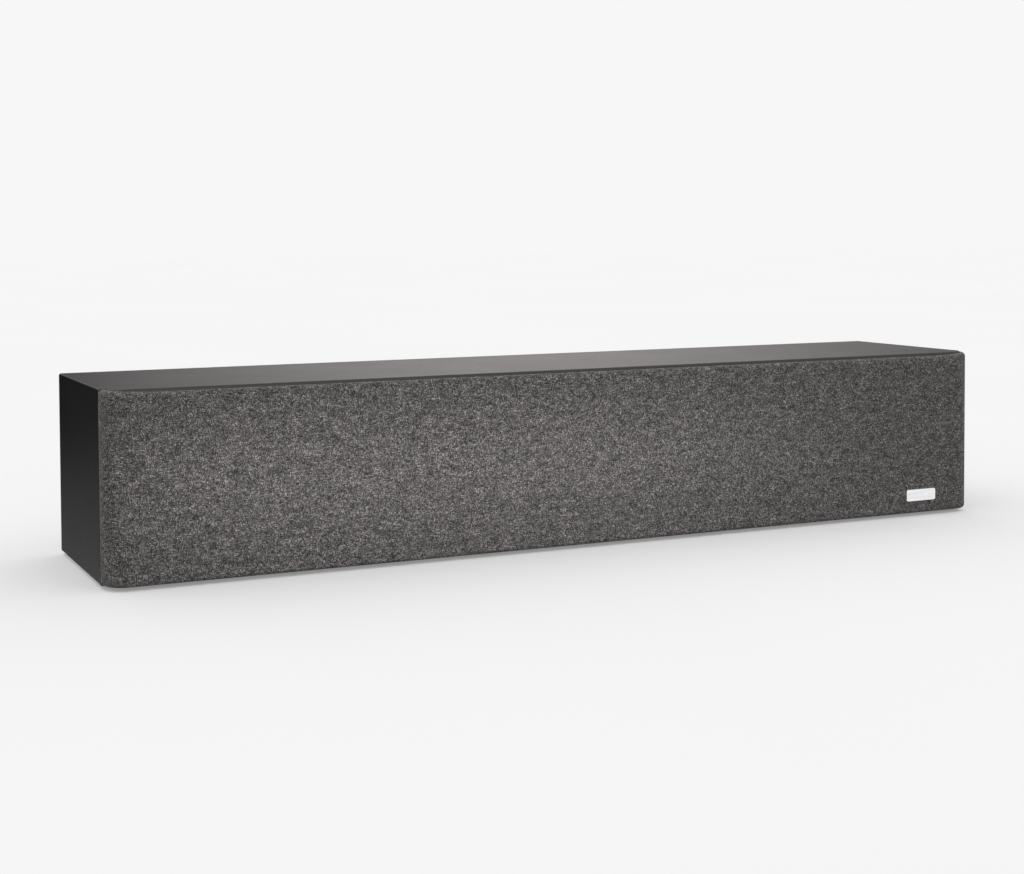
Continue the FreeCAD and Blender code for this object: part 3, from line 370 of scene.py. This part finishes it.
def arc(centre, radius, start, stop, steps):
    """Points round part of a circle, angles in degrees."""
    points = []
    for i in range(steps + 1):
        angle = math.radians(start + (stop - start) * i / steps)
        points.append((centre[0] + radius * math.cos(angle), centre[1] + radius * math.sin(angle)))
    return points


def run(start, stop, steps):
    """Points along a straight line, without its first one."""
    return [tuple(a + (b - a) * i / steps for a, b in zip(start, stop)) for i in range(1, steps + 1)]


def lengths(points):
    """Distance along a line of points, at each of them."""
    total = [0.0]
    for a, b in zip(points, points[1:]):
        total.append(total[-1] + math.dist(a, b))
    return total


CORNER_RADIUS = 15 * MM
EDGE_RADIUS = 3 * MM
GRILLE_THICKNESS = 4 * MM
END_RISE = 1.7 * MM
RISE_RUN = 45 * MM
# Steps of the cloth's mesh: along an end, a corner and the front, and up an edge and the front.
END_STEPS = 3
CORNER_STEPS = 16
FRONT_STEPS = 220
EDGE_STEPS = 8
UP_STEPS = 40


def stretched_cloth():
    """The cloth over the grille frame: along the front, round both ends, over the top and bottom edges.

    Pulled round the ends, it stands a little higher there than along the front.
    """
    low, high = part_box("grille_cloth")
    left, right, front, back = low.x, high.x, low.y, high.y
    left_bend = left + CORNER_RADIUS
    right_bend = right - CORNER_RADIUS
    bend = front + CORNER_RADIUS
    path = [(left, back)] + run((left, back), (left, bend), END_STEPS)
    path += arc((left_bend, bend), CORNER_RADIUS, 180, 270, CORNER_STEPS)[1:]
    path += run(path[-1], (right_bend, front), FRONT_STEPS)
    path += arc((right_bend, bend), CORNER_RADIUS, 270, 360, CORNER_STEPS)[1:]
    path += run(path[-1], (right, back), END_STEPS)
    inner_edge = GRILLE_THICKNESS
    section = [(inner_edge, low.z), (EDGE_RADIUS, low.z)]
    section += arc((EDGE_RADIUS, low.z + EDGE_RADIUS), EDGE_RADIUS, 270, 180, EDGE_STEPS)[1:]
    section += run(section[-1], (0.0, high.z - EDGE_RADIUS), UP_STEPS)
    section += arc((EDGE_RADIUS, high.z - EDGE_RADIUS), EDGE_RADIUS, 180, 90, EDGE_STEPS)[1:]
    section += [(inner_edge, high.z)]
    travelled = lengths(path)
    around = lengths(section)

    def inward(i):
        """Direction from the path towards the cabinet, at one of its points."""
        x, y = path[i]
        near_x = min(max(x, left_bend), right_bend)
        return Vector((near_x - x, max(bend - y, 0.0))).normalized()

    def raised(i, z):
        """Height of a point of the section at one point of the path."""
        from_end = min(travelled[i], travelled[-1] - travelled[i])
        share = max(0.0, 1.0 - from_end / RISE_RUN)
        rise = END_RISE * share * share * (3.0 - 2.0 * share)
        return z + rise * (z - low.z) / (high.z - low.z)

    def tucked(i):
        """The section at an end of the path, turned in behind the frame."""
        x, y = path[i]
        inside = x + inward(i).x * inner_edge
        return [(inside, y, raised(i, z)) for inset, z in section]

    columns = [tucked(0)]
    for i, (x, y) in enumerate(path):
        turn = inward(i)
        columns.append([(x + turn.x * inset, y + turn.y * inset, raised(i, z)) for inset, z in section])
    columns.append(tucked(len(path) - 1))
    along = [-inner_edge] + travelled + [travelled[-1] + inner_edge]

    rows = len(section)
    points = [point for column in columns for point in column]
    faces = []
    for i in range(len(columns) - 1):
        for j in range(rows - 1):
            faces.append((i * rows + j, (i + 1) * rows + j, (i + 1) * rows + j + 1, i * rows + j + 1))
    mesh = bpy.data.meshes.new("stretched_cloth")
    mesh.from_pydata(points, [], faces)
    layer = mesh.uv_layers.new(name=CLOTH_MAP)
    for loop in mesh.loops:
        column, row = divmod(loop.vertex_index, rows)
        layer.data[loop.index].uv = (along[column] + inner_edge, around[row])
    mesh.shade_smooth()
    cloth = piece("stretched_cloth", mesh, "grille_cloth", stands_for=["grille_cloth"])


stretched_cloth()


WADDING_CUTS = 18
# A high power gives a block with soft edges, a low one a ball.
WADDING_POWER = 8
LUMP_SHARE = 0.05
LUMP_COUNT = 3.0
LUMP_SHIFT = 40.0


def wadding(name, node):
    """A loose batt of wadding: a block with soft edges and an uneven, fleecy face."""
    low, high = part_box(node)
    centre = (low + high) / 2
    half = (high - low) / 2
    # Each batt has lumps of its own.
    shift = Vector((centre.x * LUMP_SHIFT, 0.0, 0.0))
    shell = bmesh.new()
    bmesh.ops.create_cube(shell, size=2.0)
    bmesh.ops.subdivide_edges(shell, edges=shell.edges[:], cuts=WADDING_CUTS, use_grid_fill=True)
    for vert in shell.verts:
        x, y, z = vert.co
        swell = sum(abs(part) ** WADDING_POWER for part in vert.co) ** (-1 / WADDING_POWER)
        lump = 1.0 - LUMP_SHARE + LUMP_SHARE * noise.noise(vert.co * LUMP_COUNT + shift)
        vert.co = centre + Vector((x * half.x, y * half.y, z * half.z)) * (swell * lump)
    mesh = bpy.data.meshes.new(name)
    shell.to_mesh(mesh)
    shell.free()
    mesh.shade_smooth()
    batt = piece(name, mesh, "wadding", stands_for=[node])


wadding("wadding_left", "damping_pad_left")
wadding("wadding_right", "damping_pad_right")


SECTORS = 8
# How close to a cut a point counts as lying on it, in metres.
CUT_TOLERANCE = 1e-7


def suspension(node):
    """A ring that flexes between a cone and its frame.

    It is cut into sectors, each shown as a piece of its own.
    """
    low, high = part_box(node)
    centre = (low + high) / 2
    whole = bmesh.new()
    whole.from_mesh(frame["nodes"][node].data)
    step = 2 * math.pi / SECTORS
    for i in range(SECTORS // 2):
        angle = step * (i + 0.5)
        across = Vector((-math.sin(angle), 0.0, math.cos(angle)))
        everything = whole.verts[:] + whole.edges[:] + whole.faces[:]
        bmesh.ops.bisect_plane(whole, geom=everything, dist=CUT_TOLERANCE, plane_co=centre, plane_no=across)
    for i in range(SECTORS):
        part = whole.copy()
        others = []
        for face in part.faces:
            middle = face.calc_center_median() - centre
            turn = math.atan2(middle.z, middle.x) - step * i
            if math.cos(turn) < math.cos(step / 2):
                others.append(face)
        bmesh.ops.delete(part, geom=others, context="FACES")
        name = "%s_%d" % (node, i + 1)
        mesh = bpy.data.meshes.new(name)
        part.to_mesh(mesh)
        part.free()
        made = piece(name, mesh, SLOTS[node], body=None, stands_for=[node])
        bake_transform(made)
    whole.free()


for side in ("left", "right"):
    suspension("woofer_%s_surround" % side)
    suspension("woofer_%s_spider" % side)
    suspension("radiator_%s_surround" % side)
suspension("tweeter_surround")


SCREW_HEAD_RADIUS = 3.2 * MM
SCREW_HEAD_DEPTH = 1.6 * MM
SCREW_RADIUS = 1.7 * MM
SCREW_LENGTH = 11 * MM
# The point starts at this share of the length, and each screw is turned further than the last one.
POINT_START = 0.8
SCREW_TURN = 37
RECESS_REACH = 1.9 * MM
RECESS_WIDTH = 0.9 * MM
RECESS_DEPTH = 0.8 * MM
RECESS_TAPER = 0.75


def ring(shell, radius, depth, steps=24):
    """A circle of points about the screw's axis, which runs along +Z into the wood."""
    return [shell.verts.new((x, y, depth)) for x, y in arc((0.0, 0.0), radius, 0, 360, steps)[:-1]]


def neighbours(points):
    """Each point of a closed line with the next one."""
    return zip(points, points[1:] + points[:1])


def band(shell, upper, lower):
    for (a, b), (c, d) in zip(neighbours(upper), neighbours(lower)):
        shell.faces.new((a, b, d, c))


def cross_outline():
    """The twelve corners of a cross recess."""
    half = RECESS_WIDTH / 2
    corners = []
    for turn in range(4):
        cosine = math.cos(math.radians(90 * turn))
        sine = math.sin(math.radians(90 * turn))
        for x, y in ((half, half), (RECESS_REACH, half), (RECESS_REACH, -half)):
            corners.append((x * cosine + y * sine, y * cosine - x * sine))
    return corners


def cross_screw():
    """One countersunk wood screw with a cross recess."""
    shell = bmesh.new()
    rim = ring(shell, SCREW_HEAD_RADIUS, 0.0)
    neck = ring(shell, SCREW_RADIUS, SCREW_HEAD_DEPTH)
    end = ring(shell, SCREW_RADIUS, SCREW_LENGTH * POINT_START)
    band(shell, rim, neck)
    band(shell, neck, end)
    tip = shell.verts.new((0.0, 0.0, SCREW_LENGTH))
    for a, b in neighbours(end):
        shell.faces.new((a, b, tip))
    outline = cross_outline()
    mouth = [shell.verts.new((x, y, 0.0)) for x, y in outline]
    floor = [shell.verts.new((x * RECESS_TAPER, y * RECESS_TAPER, RECESS_DEPTH)) for x, y in outline]
    band(shell, mouth, floor)
    shell.faces.new(floor)
    edges = [shell.edges.get(pair) for pair in neighbours(rim)]
    edges += [shell.edges.get(pair) for pair in neighbours(mouth)]
    bmesh.ops.triangle_fill(shell, use_beauty=True, edges=edges)
    bmesh.ops.recalc_face_normals(shell, faces=shell.faces[:])
    mesh = bpy.data.meshes.new("cross_screw")
    shell.to_mesh(mesh)
    shell.free()
    return mesh


MID_HEIGHT = 65 * MM
# The screws of a round flange are at the corners of a square, half a side from its middle.
UNIT_BOLT_STEP = 44.5 * MM * math.sqrt(0.5)
TWEETER_BOLT_STEP = 33 * MM * math.sqrt(0.5)
CUP_BOLT_STEP = 43.25 * MM * math.sqrt(0.5)
UNIT_OFFSETS = (-260 * MM, -112 * MM, 112 * MM, 260 * MM)
HANGER_OFFSETS = (-280 * MM, 280 * MM)
HANGER_SCREW_RISE = 21 * MM


def screw_places():
    """(x, z, True at the back) of every screw."""
    found = []
    for dx in (-1, 1):
        for dz in (-1, 1):
            for x in UNIT_OFFSETS:
                found.append((x + dx * UNIT_BOLT_STEP, MID_HEIGHT + dz * UNIT_BOLT_STEP, False))
            found.append((dx * TWEETER_BOLT_STEP, MID_HEIGHT + dz * TWEETER_BOLT_STEP, False))
            found.append((dx * CUP_BOLT_STEP, MID_HEIGHT + dz * CUP_BOLT_STEP, True))
    for x in HANGER_OFFSETS:
        for dz in (-1, 1):
            found.append((x, MID_HEIGHT + dz * HANGER_SCREW_RISE, True))
    return found


def all_screws():
    """Every screw, each turned by its own angle, as driven screws are."""
    low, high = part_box("screws")
    pattern = cross_screw()
    points = []
    faces = []
    for count, (x, z, at_back) in enumerate(screw_places()):
        angle = math.radians(SCREW_TURN * count % 90)
        head = high.y if at_back else low.y
        facing = -1 if at_back else 1
        first = len(points)
        for vert in pattern.vertices:
            across = vert.co.x * math.cos(angle) - vert.co.y * math.sin(angle)
            up = vert.co.x * math.sin(angle) + vert.co.y * math.cos(angle)
            points.append((x + facing * across, head + facing * vert.co.z, z + facing * up))
        faces += [[first + index for index in face.vertices] for face in pattern.polygons]
    mesh = bpy.data.meshes.new("cross_screws")
    mesh.from_pydata(points, [], faces)
    bpy.data.meshes.remove(pattern)
    # Swapping the axes turned the screws at the front inside out.
    shell = bmesh.new()
    shell.from_mesh(mesh)
    bmesh.ops.recalc_face_normals(shell, faces=shell.faces[:])
    shell.to_mesh(mesh)
    shell.free()
    piece("cross_screws", mesh, "black_screws", stands_for=["screws"])


all_screws()


# Studio.

RAYS = ("camera", "diffuse", "glossy", "transmission", "shadow", "volume_scatter")


def prop(name, mesh, material, ray):
    """Show a mesh as a piece of the studio that only one kind of ray sees."""
    mesh.materials.append(material)
    made = bpy.data.objects.new(name, mesh)
    scene.collection.objects.link(made)
    for kind in RAYS:
        setattr(made, "visible_" + kind, kind == ray)
    return made


def card(name, corners, material, ray):
    mesh = bpy.data.meshes.new(name)
    mesh.from_pydata(corners, [], [tuple(range(len(corners)))])
    return prop(name, mesh, material, ray)


def pale(name, albedo, glow):
    """A plain pale surface with a barely visible change of tone, and a glow of its own."""
    paint = Paint(name, Specular_IOR_Level=0.0, Roughness=0.95)
    slow = paint.noise(paint.place(), 1.5, 2.0)
    grey = (albedo, albedo, albedo)
    paint.colour(paint.ramp(slow, [(NOISE_LOW, shade(grey, 0.99)), (NOISE_HIGH, shade(grey, 1.01))]))
    paint.surface.inputs["Emission Color"].default_value = (1.0, 1.0, 1.0, 1.0)
    paint.surface.inputs["Emission Strength"].default_value = glow
    return paint.material


def glowing(name, axis, stops, power, tint=(1.0, 1.0, 1.0)):
    """A black card that glows on its front. Each stop is (place along the axis, share of the glow)."""
    paint = Paint(name, Specular_IOR_Level=0.0, Base_Color=(0.0, 0.0, 0.0, 1.0))
    first = stops[0][0]
    last = stops[-1][0]
    share = paint.spread(paint.parts(paint.place())[axis], first, last, 0.0, 1.0)
    levels = [((place - first) / (last - first), shade(tint, level)) for place, level in stops]
    paint.feed(paint.surface.inputs["Emission Color"], paint.ramp(share, levels))
    back = paint.add("NewGeometry").outputs["Backfacing"]
    front = paint.math("SUBTRACT", 1.0, back)
    paint.feed(paint.surface.inputs["Emission Strength"], paint.math("MULTIPLY", front, power))
    return paint.material


def upright(name, material, left, right, low, high, y):
    """An upright card that glows towards the speaker. Only gloss sees it."""
    card(name, [(left, y, low), (right, y, low), (right, y, high), (left, y, high)], material, "glossy")


PALE = 0.93
FILL_ABOVE = 0.88
FILL_BELOW = 0.15
# The fill changes from one to the other over this rise above the horizon and below it.
FILL_BLUR = 0.3
FLOOR_ALBEDO = 0.8
REACH = 12.0
BACKDROP_RADIUS = REACH * 1.5
floor = card("floor", [(-REACH, -REACH, 0), (REACH, -REACH, 0), (REACH, REACH, 0), (-REACH, REACH, 0)],
             pale("floor", FLOOR_ALBEDO, PALE - FLOOR_ALBEDO * FILL_ABOVE), "camera")


def backdrop():
    shell = bmesh.new()
    bmesh.ops.create_uvsphere(shell, u_segments=48, v_segments=24, radius=BACKDROP_RADIUS)
    mesh = bpy.data.meshes.new("backdrop")
    shell.to_mesh(mesh)
    shell.free()
    prop("backdrop", mesh, pale("backdrop", 0.0, PALE), "camera")


backdrop()

# Behind the speaker: a dark card with a soft bright middle for the top panel, and a low one
# for the left side.
BEHIND = 0.30
TOP_GLOW = [(-0.36, 0.0), (-0.27, 0.36), (-0.10, 0.72), (0.08, 0.99), (0.25, 0.94),
            (0.45, 0.66), (0.60, 0.46), (0.75, 0.14)]
TOP_POWER = 1.35
WARM = (1.0, 0.94, 0.935)
SIDE_GLOW = [(-0.30, 1.0), (-0.10, 0.8), (0.0, 0.35), (0.06, 0.0)]
SIDE_POWER = 0.50
upright("rear_card", glowing("rear_card", "X", TOP_GLOW, TOP_POWER, WARM),
        left=-3.0, right=3.0, low=-1.0, high=1.2, y=BEHIND)
upright("low_card", glowing("low_card", "Z", SIDE_GLOW, SIDE_POWER),
        left=-1.5, right=-0.345, low=-0.8, high=0.06, y=BEHIND - 0.01)
# In front of it, behind the camera: a card that lifts the narrow faces over the cloth, less at the right.
FRONT_GLOW = [(-4.0, 1.0), (0.9, 1.0), (2.1, 0.45), (4.0, 0.45)]
FRONT_POWER = 2.0
upright("front_card", glowing("front_card", "X", FRONT_GLOW, FRONT_POWER),
        left=4.0, right=-4.0, low=-2.0, high=3.5, y=-2.5)

# Close to the cloth: a run of short soft lamps, full in the middle and fading towards both ends.
KEY_LEFT = -0.37
KEY_RIGHT = 0.28
KEY_RISE = 0.10
KEY_FALL = 0.27
KEY_LAMPS = 13
KEY_GAP = 0.065
KEY_BREADTH = 0.02
# Watts in a metre of the run.
KEY_WATTS = 0.225
cloth_low, cloth_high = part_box("grille_cloth")
# The lamps are flagged off the floor.
flagged = bpy.data.collections.new("flagged")
flagged.objects.link(floor)
flagged.collection_objects[0].light_linking.link_state = "EXCLUDE"


def key_lamp(name, x, length, watts):
    lamp = bpy.data.lights.new(name, "AREA")
    lamp.shape = "RECTANGLE"
    lamp.size = length
    lamp.size_y = KEY_BREADTH
    lamp.energy = watts
    made = bpy.data.objects.new(name, lamp)
    made.location = (x, cloth_low.y - KEY_GAP, (cloth_low.z + cloth_high.z) / 2)
    made.rotation_euler = (math.pi / 2, 0.0, 0.0)
    made.visible_camera = False
    made.light_linking.receiver_collection = flagged
    scene.collection.objects.link(made)


lamp_length = (KEY_RIGHT - KEY_LEFT) / KEY_LAMPS
for i in range(KEY_LAMPS):
    x = KEY_LEFT + lamp_length * (i + 0.5)
    share = min(1.0, (x - KEY_LEFT) / KEY_RISE, (KEY_RIGHT - x) / KEY_FALL)
    key_lamp("key_%d" % (i + 1), x, lamp_length, KEY_WATTS * lamp_length * share)

# A white world lights the object, more from above than from below.
world = bpy.data.worlds.new("studio")
world.use_nodes = True
sky = world.node_tree
height = sky.nodes.new("ShaderNodeSeparateXYZ")
level = sky.nodes.new("ShaderNodeMapRange")
level.interpolation_type = "SMOOTHSTEP"
level.inputs["From Min"].default_value = -FILL_BLUR
level.inputs["From Max"].default_value = FILL_BLUR
level.inputs["To Min"].default_value = FILL_BELOW
level.inputs["To Max"].default_value = FILL_ABOVE
sky.links.new(sky.nodes.new("ShaderNodeTexCoord").outputs["Generated"], height.inputs[0])
sky.links.new(height.outputs["Z"], level.inputs["Value"])
sky.links.new(level.outputs["Result"], sky.nodes["Background"].inputs["Strength"])
sky.nodes["Background"].inputs["Color"].default_value = (1.0, 1.0, 1.0, 1.0)
scene.world = world
scene.view_settings.view_transform = "Standard"

# Camera, from the lines of the photograph.
IMAGE_WIDTH = 1024
IMAGE_HEIGHT = 874
FOCAL_PIXELS = 1678.6
PRINCIPAL_POINT = (494.6, 295.5)
CAMERA_PLACE = (-0.5678, -1.1232, 0.2288)
CAMERA_YAW = math.radians(25.098)
CAMERA_PITCH = math.radians(2.307)
CAMERA_ROLL = math.radians(-0.286)
lens = bpy.data.cameras.new("camera")
lens.sensor_width = 36.0
lens.lens = FOCAL_PIXELS * lens.sensor_width / IMAGE_WIDTH
lens.shift_x = (IMAGE_WIDTH / 2 - PRINCIPAL_POINT[0]) / IMAGE_WIDTH
lens.shift_y = (PRINCIPAL_POINT[1] - IMAGE_HEIGHT / 2) / IMAGE_WIDTH
camera = bpy.data.objects.new("camera", lens)
level_view = Matrix.Rotation(-CAMERA_YAW, 4, "Z") @ Matrix.Rotation(math.pi / 2 - CAMERA_PITCH, 4, "X")
camera.matrix_world = Matrix.Translation(CAMERA_PLACE) @ level_view @ Matrix.Rotation(CAMERA_ROLL, 4, "Z")
scene.collection.objects.link(camera)
scene.camera = camera
